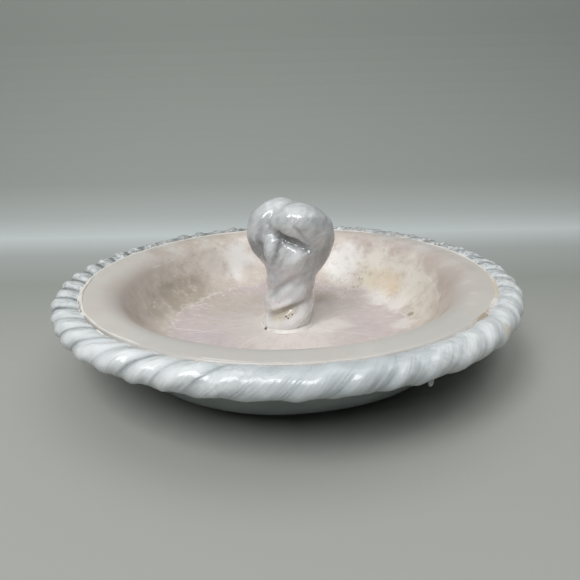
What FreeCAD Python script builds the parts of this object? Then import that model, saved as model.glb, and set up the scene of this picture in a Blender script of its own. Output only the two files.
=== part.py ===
"""Ring dish: a round ceramic dish with a twisted rope border and a knotted post.

Millimetres. The origin is the centre of the flat base on the table, +Z is up and -Y is the front.
"""
import FreeCAD, Part
import math
import os

from FreeCAD import Vector

# Rope border: two strands of clay twisted left-handed and bent into a ring
ROPE_RING_RADIUS = 60.0      # dish axis to the rope's centre line
ROPE_HEIGHT = 19.3           # table to the rope's centre line
ROPE_TWISTS = 25             # full turns of the strands round the dish
ROPE_STRAND_RADIUS = 1.7
ROPE_STRAND_GAP = 0.06       # between the two strands
ROPE_LAY_PHASE = 168.0       # degrees, turns the lay about the rope's centre line
ROPE_SPLICE_GAP = 0.1        # between the two butted ends of a strand, at the back

# Slip that joins the pieces
RIM_SLIP = 0.5               # slip between the rope and the flange's edge
RIM_BEAD_WIDTH = 0.9         # slip squeezed out on top of the flange
RIM_BEAD_RISE = 0.6          # height of that bead above the flange
STRAND_CLEARANCE = 0.05      # between a strand's outer surface and the slip
POST_SLIP = 0.4              # slip bed under the post
POST_COLLAR_WIDTH = 2.0      # pale collar of slip round the post's foot
POST_COLLAR_RISE = 1.6       # height of the collar against the post
POST_COLLAR_HOLLOW = 0.3     # 0.5 is a straight slope, less is hollow

# Dish
FLANGE_WIDTH = 4.0           # level part of the flange, from the rope's seat to the shoulder
FLANGE_RISE = 2.1            # flange's upper face above the rope's centre line
FLANGE_THICKNESS = 4.0
WALL = 5.5                   # level thickness just under the flange, thicker further down
FLOOR = 4.0
WALL_LEAN = 6.0              # degrees, the outside of the wall opens upwards
BELLY_RADIUS = 12.0          # rounded outside between base and wall
WELL_LEAN = 28.0             # degrees, the well's side opens upwards
WELL_CORNER_RADIUS = 13.0    # rounding from the floor into the well's side
SHOULDER_RADIUS = 7.0        # rounding from the well's side onto the flange
UNDER_FLANGE_RADIUS = 3.0    # hollow rounding under the flange

# Post: two thick strands, pressed flat against each other and twisted right-handed
POST_SIDE = 0.4              # the post stands this far right of the dish's axis
STEM_RADIUS = 7.2
STEM_LENGTH = 16.4           # slip bed to where the strands part
STEM_PITCH = 14.0            # rise of one full turn of the twist
STEM_EDGE_RADIUS = 2.0       # rounded edges that make the groove between the strands
STEM_STRAND_GAP = 0.06       # between the two strands

# Knot on top of the post: each strand rises out of the stem as ridges and folds over. A bend runs
# through three places, each (right, back, up) from the post's axis where the strands part.
RIGHT_FOLD_RADIUS = 5.8
RIGHT_FOLD = ((2.0, -3.4, 15.2), (7.2, -0.8, 11.4), (6.4, 1.6, 3.9))
LEFT_FOLD_RADIUS = 5.6
LEFT_FOLD = ((0.2, 2.6, 15.9), (-5.4, 1.6, 13.2), (-5.5, 1.0, 7.4))
LEFT_RIDGE_RADIUS = 4.0
LEFT_RIDGE = ((-1.8, -2.4, -1.0), (-3.2, -3.4, 5.5), (-3.3, -3.6, 11.5))
RIGHT_RIDGE_RADIUS = 4.3
RIGHT_RIDGE = ((1.8, -2.4, -1.0), (2.6, -3.6, 4.5), (4.6, -2.8, 9.0))
BACK_RIDGE_RADIUS = 4.6
BACK_RIDGE = ((0.4, 2.0, -1.0), (1.0, 3.6, 6.5), (1.4, 3.2, 13.0))

# Values that follow from the sizes above
rope_offset = ROPE_STRAND_RADIUS + ROPE_STRAND_GAP / 2
rope_radius = rope_offset + ROPE_STRAND_RADIUS
slip_inner_radius = rope_radius + STRAND_CLEARANCE
cove_radius = slip_inner_radius + RIM_SLIP
flange_top = ROPE_HEIGHT + FLANGE_RISE
flange_under = flange_top - FLANGE_THICKNESS
stem_bottom = FLOOR + POST_SLIP
stem_top = stem_bottom + STEM_LENGTH
UP = Vector(0, 0, 1)
CENTRE = Vector(0, 0, 0)
FRONT = -90.0                # degrees round the post
BACK = 90.0
ARCS_PER_TWIST = 4           # pairs of arcs that follow one turn of a rope strand
TOUCHING = 1e-7              # two ends closer than this are the same point


def section_point(radius, height):
    """A point of an outline that is turned about the dish's axis."""
    return Vector(radius, 0, height)


def section_arc(centre, radius, start, end):
    """Arc in the outline's plane, between two angles in degrees from the outward direction."""
    points = []
    for angle in (start, (start + end) / 2, end):
        turn = math.radians(angle)
        points.append(centre + Vector(radius * math.cos(turn), 0, radius * math.sin(turn)))
    return Part.Arc(*points).toShape()


def end_of(edge):
    """Last point of an edge, in the direction in which it was drawn."""
    return edge.valueAt(edge.LastParameter)


def start_of(edge):
    """First point of an edge, in the direction in which it was drawn."""
    return edge.valueAt(edge.FirstParameter)


def turned_solid(stops):
    """Joins points and curves, in order, by straight lines and turns the closed outline about the axis."""
    edges = []
    ends = []
    for stop in stops:
        if isinstance(stop, Vector):
            ends.append((stop, stop))
        else:
            edges.append(stop)
            ends.append((start_of(stop), end_of(stop)))
    for (_, last), (following, _) in zip(ends, ends[1:] + ends[:1]):
        if last.distanceToPoint(following) > TOUCHING:
            edges.append(Part.makeLine(last, following))
    outline = Part.Face(Part.Wire(Part.__sortEdges__(edges)))
    return outline.revolve(CENTRE, UP, 360)


def rope_angle_at(height_above_centre, radius):
    """Angle on a circle round the rope, on its inner side, at a height above its centre line."""
    return 180 - math.degrees(math.asin(height_above_centre / radius))


def dish_body():
    """The dish: a flat base, a rounded belly, a well with sloping sides and a level flange."""
    rope_centre = section_point(ROPE_RING_RADIUS, ROPE_HEIGHT)
    low_angle = rope_angle_at(flange_under - ROPE_HEIGHT, cove_radius)
    high_angle = rope_angle_at(FLANGE_RISE, cove_radius)
    cove = section_arc(rope_centre, cove_radius, low_angle, high_angle)

    well_lean = math.radians(WELL_LEAN)
    shoulder_centre = section_point(end_of(cove).x - FLANGE_WIDTH, flange_top - SHOULDER_RADIUS)
    shoulder = section_arc(shoulder_centre, SHOULDER_RADIUS, 90, 180 - WELL_LEAN)
    side_top = end_of(shoulder)
    corner_z = FLOOR + WELL_CORNER_RADIUS
    side_foot_z = corner_z - WELL_CORNER_RADIUS * math.sin(well_lean)
    side_foot_r = side_top.x - (side_top.z - side_foot_z) * math.tan(well_lean)
    floor_radius = side_foot_r - WELL_CORNER_RADIUS * math.cos(well_lean)
    corner = section_arc(section_point(floor_radius, corner_z), WELL_CORNER_RADIUS, -WELL_LEAN, -90)

    wall_lean = math.radians(WALL_LEAN)
    hollow_z = flange_under - UNDER_FLANGE_RADIUS
    wall_top_z = hollow_z + UNDER_FLANGE_RADIUS * math.sin(wall_lean)
    wall_top_r = side_top.x - (side_top.z - wall_top_z) * math.tan(well_lean) + WALL
    hollow_centre = section_point(wall_top_r + UNDER_FLANGE_RADIUS * math.cos(wall_lean), hollow_z)
    hollow = section_arc(hollow_centre, UNDER_FLANGE_RADIUS, 180 - WALL_LEAN, 90)
    wall_foot_z = BELLY_RADIUS - BELLY_RADIUS * math.sin(wall_lean)
    wall_foot_r = wall_top_r - (wall_top_z - wall_foot_z) * math.tan(wall_lean)
    base_radius = wall_foot_r - BELLY_RADIUS * math.cos(wall_lean)
    belly = section_arc(section_point(base_radius, BELLY_RADIUS), BELLY_RADIUS, -90, -WALL_LEAN)

    print("base radius %.2f, floor radius %.2f" % (base_radius, floor_radius))
    underside = [section_point(0, 0), belly, hollow]
    upper_side = [cove, shoulder, corner, section_point(0, FLOOR)]
    return turned_solid(underside + upper_side)


def rim_slip():
    """Slip round the rim: a thin bed between rope and flange, with a bead squeezed out on top."""
    rope_centre = section_point(ROPE_RING_RADIUS, ROPE_HEIGHT)
    low_outer = rope_angle_at(flange_under - ROPE_HEIGHT, cove_radius)
    low_inner = rope_angle_at(flange_under - ROPE_HEIGHT, slip_inner_radius)
    high_outer = rope_angle_at(FLANGE_RISE, cove_radius)
    high_inner = rope_angle_at(FLANGE_RISE + RIM_BEAD_RISE / 2, slip_inner_radius)
    bed_outside = section_arc(rope_centre, cove_radius, high_outer, low_outer)
    bed_inside = section_arc(rope_centre, slip_inner_radius, low_inner, high_inner)
    bead_edge = section_point(start_of(bed_outside).x - RIM_BEAD_WIDTH, flange_top)
    crest = section_point(start_of(bed_outside).x, flange_top + RIM_BEAD_RISE)
    bead = Part.Arc(end_of(bed_inside), crest, bead_edge).toShape()
    return turned_solid([bed_outside, bed_inside, bead])


def strand_point(turn, start_angle):
    """Centre of a rope strand at an angle round the dish."""
    lay = start_angle + ROPE_TWISTS * turn
    radius = ROPE_RING_RADIUS + rope_offset * math.cos(lay)
    height = ROPE_HEIGHT + rope_offset * math.sin(lay)
    return Vector(radius * math.cos(turn), radius * math.sin(turn), height)


def strand_direction(turn, start_angle):
    """Direction of a rope strand at an angle round the dish."""
    lay = start_angle + ROPE_TWISTS * turn
    radius = ROPE_RING_RADIUS + rope_offset * math.cos(lay)
    swell = -rope_offset * ROPE_TWISTS * math.sin(lay)
    climb = rope_offset * ROPE_TWISTS * math.cos(lay)
    along = Vector(-radius * math.sin(turn), radius * math.cos(turn), climb)
    outward = Vector(swell * math.cos(turn), swell * math.sin(turn), 0)
    return (along + outward).normalize()


def tangent_arc(start, direction, end):
    """Arc from start, leaving in a direction, to end."""
    chord = end - start
    bow = direction - chord * (direction.dot(chord) / chord.dot(chord))
    half_angle = direction.getAngle(chord) / 2
    middle = start + chord * 0.5 + bow.normalize() * (chord.Length / 2 * math.tan(half_angle))
    return Part.Arc(start, middle, end).toShape()


def two_arcs(start, leaving, end, arriving):
    """Two arcs that run on from each other and from the directions at both ends."""
    chord = end - start
    both = leaving + arriving
    opening = 2 * (1 - leaving.dot(arriving))
    reach = chord.dot(both)
    length = (math.sqrt(reach * reach + opening * chord.dot(chord)) - reach) / opening
    joint = (start + leaving * length + end - arriving * length) * 0.5
    first = tangent_arc(start, leaving, joint)
    second = tangent_arc(end, arriving * -1, joint)
    return [first, second]


def rope_strand(start_angle):
    """One strand of the rope border, a tube whose two ends butt at the back of the dish."""
    half_gap = ROPE_SPLICE_GAP / 2 / ROPE_RING_RADIUS
    first_turn = math.pi / 2 + half_gap
    whole = 2 * math.pi - 2 * half_gap
    steps = ARCS_PER_TWIST * ROPE_TWISTS
    edges = []
    for step in range(steps):
        a = first_turn + whole * step / steps
        b = first_turn + whole * (step + 1) / steps
        edges += two_arcs(strand_point(a, start_angle), strand_direction(a, start_angle),
                          strand_point(b, start_angle), strand_direction(b, start_angle))
    path = Part.Wire(Part.__sortEdges__(edges))
    start = strand_point(first_turn, start_angle)
    ring = Part.Circle(start, strand_direction(first_turn, start_angle), ROPE_STRAND_RADIUS)
    tube = Part.BRepOffsetAPI.MakePipeShell(path)
    tube.add(Part.Wire(ring.toShape()))
    tube.build()
    tube.makeSolid()
    return tube.shape()


def stem_half(front_angle):
    """One twisted half of the stem: a rounded D section that turns right-handed as it rises.

    front_angle is where the half's round side faces at the top of the stem, in degrees.
    """
    flat = STEM_STRAND_GAP / 2
    edge_y = flat + STEM_EDGE_RADIUS
    inner_angle = math.asin(edge_y / (STEM_RADIUS - STEM_EDGE_RADIUS))
    edge_x = (STEM_RADIUS - STEM_EDGE_RADIUS) * math.cos(inner_angle)
    flat_right = Vector(edge_x, flat, 0)
    flat_left = Vector(-edge_x, flat, 0)
    bend = (inner_angle - math.pi / 2) / 2
    bend_x = edge_x + STEM_EDGE_RADIUS * math.cos(bend)
    bend_y = edge_y + STEM_EDGE_RADIUS * math.sin(bend)
    round_x = STEM_RADIUS * math.cos(inner_angle)
    round_y = STEM_RADIUS * math.sin(inner_angle)
    round_right = Vector(round_x, round_y, 0)
    round_left = Vector(-round_x, round_y, 0)
    outline = Part.Wire([
        Part.makeLine(flat_left, flat_right),
        Part.Arc(flat_right, Vector(bend_x, bend_y, 0), round_right).toShape(),
        Part.Arc(round_right, Vector(0, STEM_RADIUS, 0), round_left).toShape(),
        Part.Arc(round_left, Vector(-bend_x, bend_y, 0), flat_left).toShape(),
    ])
    twist = 360 * STEM_LENGTH / STEM_PITCH
    outline.rotate(CENTRE, UP, front_angle - 90 - twist)
    outline.translate(UP * stem_bottom)
    spine = Part.Wire(Part.makeLine(UP * stem_bottom, UP * stem_top))
    guide = Part.makeHelix(STEM_PITCH, STEM_LENGTH, STEM_RADIUS)
    guide.translate(UP * stem_bottom)
    sweep = Part.BRepOffsetAPI.MakePipeShell(spine)
    sweep.setAuxiliarySpine(guide, True, 0)
    sweep.add(outline)
    sweep.build()
    sweep.makeSolid()
    return sweep.shape()


def bent_coil(places, radius):
    """A bent coil of clay with round ends, through three places of the knot."""
    first, middle, last = [Vector(right, back, stem_top + up) for right, back, up in places]
    bend = Part.Arc(first, middle, last).toShape()
    leaving = bend.tangentAt(bend.FirstParameter)
    arriving = bend.tangentAt(bend.LastParameter)
    disc = Part.Face(Part.Wire(Part.Circle(first, leaving, radius).toShape()))
    turn = math.degrees(bend.LastParameter - bend.FirstParameter)
    tube = disc.revolve(bend.Curve.Center, bend.Curve.Axis, turn)
    round_start = Part.makeSphere(radius, first, leaving * -1, 0, 90, 360)
    round_end = Part.makeSphere(radius, last, arriving, 0, 90, 360)
    return tube.fuse([round_start, round_end])


def front_strand():
    """Front strand of the post: half the stem, two rising ridges and the fold to the right."""
    left_ridge = bent_coil(LEFT_RIDGE, LEFT_RIDGE_RADIUS)
    right_ridge = bent_coil(RIGHT_RIDGE, RIGHT_RIDGE_RADIUS)
    fold = bent_coil(RIGHT_FOLD, RIGHT_FOLD_RADIUS)
    return stem_half(FRONT).fuse([left_ridge, right_ridge, fold])


def back_strand():
    """Back strand of the post: half the stem, one rising ridge and the fold to the left."""
    ridge = bent_coil(BACK_RIDGE, BACK_RIDGE_RADIUS)
    fold = bent_coil(LEFT_FOLD, LEFT_FOLD_RADIUS)
    return stem_half(BACK).fuse([ridge, fold])


def post_slip():
    """Slip under the post: a thin bed on the floor and a hollow collar pressed up round the foot."""
    bore = STEM_RADIUS + STRAND_CLEARANCE
    outer = bore + POST_COLLAR_WIDTH
    top = stem_bottom + POST_COLLAR_RISE
    hollow_r = bore + POST_COLLAR_WIDTH * POST_COLLAR_HOLLOW
    hollow_z = FLOOR + (top - FLOOR) * POST_COLLAR_HOLLOW
    collar = Part.Arc(section_point(outer, FLOOR), section_point(hollow_r, hollow_z),
                      section_point(bore, top)).toShape()
    seat = [section_point(bore, stem_bottom), section_point(0, stem_bottom), section_point(0, FLOOR)]
    return turned_solid([collar] + seat)


def alone(shape):
    """The solid of a piece, without the seams that joining and cutting leave on its faces."""
    solids = shape.removeSplitter().Solids
    return solids[0] if len(solids) == 1 else Part.makeCompound(solids)


def make_post():
    """The post's two strands and its slip, moved together to where the post stands."""
    back = alone(back_strand())
    front = alone(front_strand().cut(back))
    post = {
        "post_front_strand": front,
        "post_back_strand": back,
        "post_slip": post_slip(),
    }
    for piece in post.values():
        piece.translate(Vector(POST_SIDE, 0, 0))
    return post


def main():
    lay = math.radians(ROPE_LAY_PHASE)
    pieces = {
        "dish_body": dish_body(),
        "rim_slip": rim_slip(),
        "rim_rope_strand_1": rope_strand(lay),
        "rim_rope_strand_2": rope_strand(lay + math.pi),
    }
    pieces.update(make_post())
    os.makedirs("parts", exist_ok=True)
    for name, shape in pieces.items():
        print(name, "solids", len(shape.Solids), "valid", shape.isValid(), "volume %.1f" % shape.Volume)
        shape.exportStep(os.path.join("parts", name + ".step"))


main()
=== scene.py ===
# %% [markdown]
# # A ring dish with a rope border and a knotted post
# The real dish is hand-built pottery: a thick round dish, a rope of two clay coils on its edge, and a
# post of two twisted coils that are folded into a knot. The whole is glazed and fired.
# Its sizes are already settled in a measured model, so this lesson loads that model first. Each piece
# is then shaped again in its place with the softness of hand-worked clay, and gets a glaze.

import bmesh
import bpy
import math

from mathutils import Matrix, Vector, noise
from mathutils.bvhtree import BVHTree
from mathutils.kdtree import KDTree


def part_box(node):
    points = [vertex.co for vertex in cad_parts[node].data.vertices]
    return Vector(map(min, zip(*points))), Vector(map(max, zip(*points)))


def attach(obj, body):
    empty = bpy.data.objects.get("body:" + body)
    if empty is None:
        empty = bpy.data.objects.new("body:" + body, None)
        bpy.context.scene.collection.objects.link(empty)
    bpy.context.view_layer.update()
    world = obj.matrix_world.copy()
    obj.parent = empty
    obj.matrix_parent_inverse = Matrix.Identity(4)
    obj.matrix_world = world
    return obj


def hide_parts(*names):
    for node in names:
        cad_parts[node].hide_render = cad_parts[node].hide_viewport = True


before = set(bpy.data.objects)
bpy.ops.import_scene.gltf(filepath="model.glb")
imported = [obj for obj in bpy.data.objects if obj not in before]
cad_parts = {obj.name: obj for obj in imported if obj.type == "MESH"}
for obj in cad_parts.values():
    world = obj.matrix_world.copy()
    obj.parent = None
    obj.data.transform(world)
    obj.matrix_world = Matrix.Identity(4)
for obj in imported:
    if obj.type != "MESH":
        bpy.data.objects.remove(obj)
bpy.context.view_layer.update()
MM = 0.001

# %% [markdown]
# ## Places that every piece shares
# The measured solids tell where the rope runs, how high the flange lies and where the post stands.
# Reading these few places from their boxes keeps each new piece on its seat. A list of copied numbers
# would do the same until a size changes.

# %% Read the places
rope_boxes = [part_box("rim_rope_strand_1"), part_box("rim_rope_strand_2")]
rope_radius = (rope_boxes[0][1].z - rope_boxes[0][0].z) / 2
rope_height = (rope_boxes[0][1].z + rope_boxes[0][0].z) / 2
rope_ring = max(high.x for low, high in rope_boxes) - rope_radius
flange_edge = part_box("dish_body")[1].x
flange_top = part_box("dish_body")[1].z
post_x = (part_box("post_slip")[0].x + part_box("post_slip")[1].x) / 2
stem_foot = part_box("post_front_strand")[0].z
print("in mm: rope ring", rope_ring / MM, "and rope", rope_radius / MM)
print("in mm: flange top", flange_top / MM, "and post at", post_x / MM)

# %% [markdown]
# ## Hand-made unevenness
# Clay that was rolled and pressed by hand is never quite true. Perlin noise is smooth and gives the
# same value at the same place each time, so it can push points in and out a little. A random number
# for each point would look like sand.

# %% Unevenness and finishing a piece
SHARP_CORNER = math.radians(50)     # an edge that bends more than this stays crisp


def unevenness(place, spacing, depth):
    """Height of a soft bump at a place, for bumps about that far apart and that deep, in metres."""
    return depth * noise.noise(place / spacing)


def to_piece(bm, name, materials, node):
    """Makes a piece of the dish from a bmesh. It stands for one measured solid."""
    for face in bm.faces:
        face.smooth = True
    mesh = bpy.data.meshes.new(name)
    bm.to_mesh(mesh)
    bm.free()
    mesh.set_sharp_from_angle(angle=SHARP_CORNER)
    for material in materials:
        mesh.materials.append(material)
    piece = bpy.data.objects.new(name, mesh)
    bpy.context.scene.collection.objects.link(piece)
    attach(piece, "root")
    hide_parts(node)
    print(name, "faces", len(mesh.polygons))


print("edges that bend more than", round(math.degrees(SHARP_CORNER)), "degrees stay crisp")

# %% [markdown]
# ## Colours and nodes
# A glaze colour is easiest to note as a web colour, which is how a screen shows it. Shaders count in
# linear light, so one function converts it. Another adds a node, sets it and connects its inputs, which
# keeps each finish below readable as a list of steps. A node stands for its first output in use.

# %% Colours and nodes
def paint(web_colour):
    """Linear red, green, blue and alpha of a web colour such as c8c0b8."""
    shares = [int(web_colour[i:i + 2], 16) / 255 for i in (0, 2, 4)]
    return [s / 12.92 if s <= 0.04045 else ((s + 0.055) / 1.055) ** 2.4 for s in shares] + [1.0]


def connect(tree, node, inputs):
    """Sets inputs: a link from a socket or from a node's first output in use, or else a plain value."""
    for socket, value in inputs.items():
        if isinstance(value, bpy.types.Node):
            value = next(output for output in value.outputs if output.enabled)
        if isinstance(value, bpy.types.NodeSocket):
            tree.links.new(value, node.inputs[socket])
        else:
            node.inputs[socket].default_value = value


def add(tree, kind, inputs=None, **settings):
    """Adds a shader node with its settings and inputs."""
    node = tree.nodes.new("ShaderNode" + kind)
    for name, value in settings.items():
        setattr(node, name, value)
    connect(tree, node, inputs or {})
    return node


print("screen grey 808080 in linear light", round(paint("808080")[0], 3))

# %% Start a finish
# Sockets of a colour Mix node, which has one set for each kind of data
AMOUNT, UNDER, OVER = 0, 6, 7
TO_MM = (1 / MM, 1 / MM, 1 / MM)


def start_finish(name, **shader_values):
    """A new material with its shader's constant values set. Gives it, its tree, shader and place in mm."""
    material = bpy.data.materials.new(name)
    material.use_nodes = True
    tree = material.node_tree
    shader = tree.nodes["Principled BSDF"]
    connect(tree, shader, {socket.replace("_", " "): value for socket, value in shader_values.items()})
    place = add(tree, "TexCoord").outputs["Object"]
    in_mm = add(tree, "Mapping", {"Vector": place, "Scale": TO_MM})
    return material, tree, shader, in_mm


def set_stops(ramp, stops):
    """Gives a colour ramp its stops, each a position from 0 to 1 and a web colour."""
    while len(ramp.elements) < len(stops):
        ramp.elements.new(1.0)
    for element, (position, web_colour) in zip(ramp.elements, stops):
        element.position = position
        element.color = paint(web_colour)


print("a finish counts in mm, so its patterns are scaled by", round(TO_MM[0]))

# %% [markdown]
# ## Patches and fine lines
# Glaze pools, stains and cracks where chance had it, so these marks are placed one by one. Each is a
# coat: an amount from 0 to 1 at every place, and a colour. A finish gathers its coats in a list and
# lays them over each other at its end. Noise makes the borders ragged, as nothing in a kiln is round.

# %% Coats in patches and lines
PATCH_SWING = 1.6           # shares of a patch's reach: how far noise moves its border,
PATCH_RIM = 1.9             # where the patch begins
PATCH_CORE = 1.15           # and where it is full
LINE_WAVER = 1.4            # mm that a line strays sideways
LINE_WAVE = 3.0             # mm, the length of its waves


def patch_coats(tree, in_mm, patches, ragged):
    """Coats in ragged patches: each patch has a centre and a reach in mm, a colour and a strength."""
    cloud = add(tree, "TexNoise", {"Vector": in_mm, "Scale": 1 / ragged, "Detail": 7.0, "Roughness": 0.65})
    coats = []
    for centre, reach, web_colour, strength in patches:
        away = add(tree, "VectorMath", {0: in_mm, 1: centre}, operation="DISTANCE")
        edge = add(tree, "Math", {0: cloud, 1: reach * PATCH_SWING, 2: away}, operation="MULTIPLY_ADD")
        amount = add(tree, "MapRange", {"Value": edge, "From Min": reach * PATCH_RIM,
                                        "From Max": reach * PATCH_CORE, "To Max": strength},
                     interpolation_type="SMOOTHSTEP")
        coats.append((amount, paint(web_colour)))
    return coats


def line_coats(tree, in_mm, lines, web_colour):
    """Coats in thin, wavering lines: each line has two ends, a half width in mm and a strength."""
    shake = add(tree, "TexNoise", {"Vector": in_mm, "Scale": 1 / LINE_WAVE, "Detail": 3.0}).outputs["Color"]
    waver = Vector((LINE_WAVER, LINE_WAVER, 0.0))
    shaken = add(tree, "VectorMath", {0: shake, 1: waver, 2: in_mm}, operation="MULTIPLY_ADD")
    coats = []
    for start, end, half_width, strength in lines:
        run = Vector(end) - Vector(start)
        middle = Vector(start) + waver / 2
        from_start = add(tree, "VectorMath", {0: shaken, 1: middle}, operation="SUBTRACT")
        along = add(tree, "VectorMath", {0: from_start, 1: run / run.length_squared}, operation="DOT_PRODUCT")
        along = add(tree, "Math", {0: along, 1: 0.0}, operation="ADD", use_clamp=True)
        nearest = add(tree, "VectorMath", {0: run, "Scale": along}, operation="SCALE")
        away = add(tree, "VectorMath", {0: from_start, 1: nearest}, operation="DISTANCE")
        amount = add(tree, "MapRange", {"Value": away, "From Min": half_width, "From Max": 0.0,
                                        "To Max": strength})
        coats.append((amount, paint(web_colour)))
    return coats


print("at middling noise a patch is full within", round(PATCH_CORE - PATCH_SWING / 2, 2), "of its reach")

# %% [markdown]
# ## The dish's glaze
# The dish has a satin taupe glaze. It is pale grey on the flange, darker and mauve down the well, and
# pinkish on the floor, where fine cracks and brush marks run out from the post. Where it pooled, it is
# cream. Fired glaze follows the shape, so height and distance from the axis choose the colour, and
# patches and lines are laid where the glaze pooled, stained or cracked. Shade is painted too: the post's
# shadow on the floor, the groove beside the rope at the left and the belly under the rope. To the eye it
# is a soft shine over a colour that is never quite even.

# %% Where the dish's glaze pooled, stained and cracked, and where shadow is painted
# Each patch has a centre and a reach in mm, a colour and a strength
FLANGE_PATCHES = (
    # greyer in front
    ((-12.0, -54.0, 21.4), 30.0, "c6c3bf", 0.75), ((28.0, -46.0, 21.4), 20.0, "c8c6c2", 0.7),
    # warmer at the back
    ((-12.0, 52.0, 21.4), 22.0, "dfd2c6", 0.75), ((20.0, 50.0, 21.4), 20.0, "dccfc4", 0.7),
    # browner at the back left
    ((-45.0, 24.0, 21.4), 6.0, "c3b8ae", 0.8), ((-37.0, 35.0, 21.4), 7.0, "c6baae", 0.8),
    ((-26.0, 43.0, 21.0), 6.0, "cbbfb3", 0.7),
)
DISH_PATCHES = (
    # darker, greenish glaze in the left of the well, and the paler glaze behind it
    ((-43.5, -10.0, 14.5), 11.0, "cabfb8", 0.6), ((-43.5, 8.5, 14.0), 6.0, "c6bdb4", 0.6),
    ((-41.0, 18.0, 15.0), 6.0, "cac1b9", 0.6), ((-36.4, 26.4, 14.8), 8.0, "d6cec6", 0.7),
    ((-33.5, 22.0, 7.0), 9.0, "a89d8d", 0.8), ((-38.0, 12.5, 7.5), 8.0, "aca293", 0.8),
    ((-40.5, 1.5, 8.5), 6.5, "b5ab9e", 0.7),
    ((-19.0, 39.5, 13.0), 10.0, "f4f2ef", 0.95), ((-28.0, 34.0, 13.9), 8.0, "e0dad3", 0.7),
    ((-14.4, 38.4, 8.1), 5.0, "cdbfb2", 0.6), ((-20.0, 17.0, 4.0), 16.0, "bfb5ac", 0.85),
    # a mauve band under the right of the flange
    ((27.4, 38.2, 18.7), 8.0, "c9bbb5", 0.7), ((37.7, 27.5, 18.1), 9.0, "c7b9b3", 0.75),
    ((45.3, 12.6, 18.6), 9.0, "c5b8b1", 0.75), ((46.6, -3.1, 18.1), 9.0, "c3b7af", 0.75),
    # the cream pool with its yellow stain, the floor behind the post darkened by greenish glaze and a
    # painted shadow of the post, and a dark spot
    ((21.2, 37.7, 11.7), 10.0, "f6f4f0", 1.0), ((32.4, 29.4, 12.2), 10.0, "efebe2", 0.95),
    ((39.5, 18.4, 11.8), 10.0, "e9e3d8", 0.95), ((41.8, 8.5, 11.1), 9.0, "e6dfd3", 0.95),
    ((42.0, -1.5, 9.5), 7.0, "e2dbcd", 0.9), ((40.5, 14.0, 14.0), 6.5, "ebe6dd", 0.9),
    ((42.8, 4.0, 13.0), 5.0, "e5decf", 0.85), ((12.5, 21.0, 4.0), 8.0, "b6ac9f", 0.7),
    ((33.0, 22.0, 8.0), 9.0, "ebe5db", 0.8),
    ((32.3, 17.2, 4.9), 6.0, "f0ece8", 0.9), ((35.8, 10.1, 5.2), 5.5, "ece7e2", 0.8),
    ((21.9, 32.0, 6.1), 5.0, "e6e0d8", 0.7), ((29.0, 30.2, 9.2), 5.5, "e0d4bb", 0.4),
    ((33.6, 25.2, 9.2), 6.0, "e0cfb3", 0.6), ((36.5, 19.1, 8.4), 5.5, "e0c8a8", 0.6),
    ((38.0, 0.6, 5.6), 1.3, "8d8577", 0.8), ((34.7, -4.0, 4.4), 4.5, "e9e3df", 0.6),
    # lilac glaze in the front of the floor
    ((-24.0, -9.5, 4.0), 8.0, "c8bcc2", 0.7), ((22.0, -1.5, 4.0), 9.0, "c8bcbe", 0.6),
    # pale glaze round the post's foot
    ((8.8, -4.0, 4.0), 8.0, "f0ebe5", 0.85), ((14.4, -2.0, 4.0), 6.0, "e9e2dc", 0.8),
    ((6.0, -14.0, 4.0), 9.0, "e8dfdb", 0.7), ((-4.0, -12.0, 4.0), 8.0, "e6ddd9", 0.6),
    # scuffs on the flange
    ((48.2, -13.1, 21.0), 1.8, "dcd8d3", 0.6), ((46.1, -23.0, 21.3), 1.6, "dedad5", 0.6),
    ((43.1, -29.7, 21.4), 1.8, "dcd8d3", 0.5),
)
DISH_LINES = (  # two ends and a half width in mm, strength
    ((-25.3, -5.8, 4.0), (-8.6, -1.4, 4.0), 0.3, 0.8), ((-23.8, -7.2, 4.0), (-13.5, -4.1, 4.0), 0.25, 0.6),
    ((-12.8, -14.7, 4.0), (-7.5, -8.5, 4.0), 0.3, 0.8), ((-33.7, 12.3, 4.7), (-28.3, 16.7, 4.1), 0.3, 0.85),
    ((-36.9, 1.2, 5.1), (-34.1, -4.0, 4.3), 0.5, 0.7), ((-34.1, -4.0, 4.3), (-26.0, -5.2, 4.0), 0.4, 0.7),
    ((-30.0, 27.7, 7.9), (-25.7, 31.6, 7.8), 0.4, 0.6), ((-44.4, 14.3, 18.0), (-40.1, 23.6, 17.9), 0.5, 0.4),
    ((9.5, -6.5, 4.0), (22.0, -9.0, 4.0), 0.3, 0.6), ((10.5, 2.5, 4.0), (19.0, 9.5, 4.0), 0.3, 0.5),
    ((42.7, 13.6, 15.6), (44.6, 5.5, 15.2), 0.7, 0.6), ((44.6, 5.5, 15.2), (44.3, -3.0, 14.0), 0.7, 0.6),
    ((44.3, -3.0, 14.0), (42.6, -8.6, 11.9), 0.6, 0.5),
)

print("patches", len(FLANGE_PATCHES) + len(DISH_PATCHES), "lines", len(DISH_LINES))

# %% Satin taupe: flange, wall and floor
taupe_glaze, tree, shader, in_mm = start_finish("satin_taupe_stoneware_glaze", IOR=1.5, Coat_Weight=0.2,
                                                Coat_Roughness=0.2)
xyz = add(tree, "SeparateXYZ", {"Vector": in_mm})
height = xyz.outputs["Z"]
flat = add(tree, "CombineXYZ", {"X": xyz.outputs["X"], "Y": xyz.outputs["Y"]})
from_axis = add(tree, "VectorMath", {0: flat}, operation="LENGTH")
cloud = add(tree, "TexNoise", {"Vector": in_mm, "Scale": 1 / 9.0, "Detail": 8.0, "Roughness": 0.65})

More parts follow.
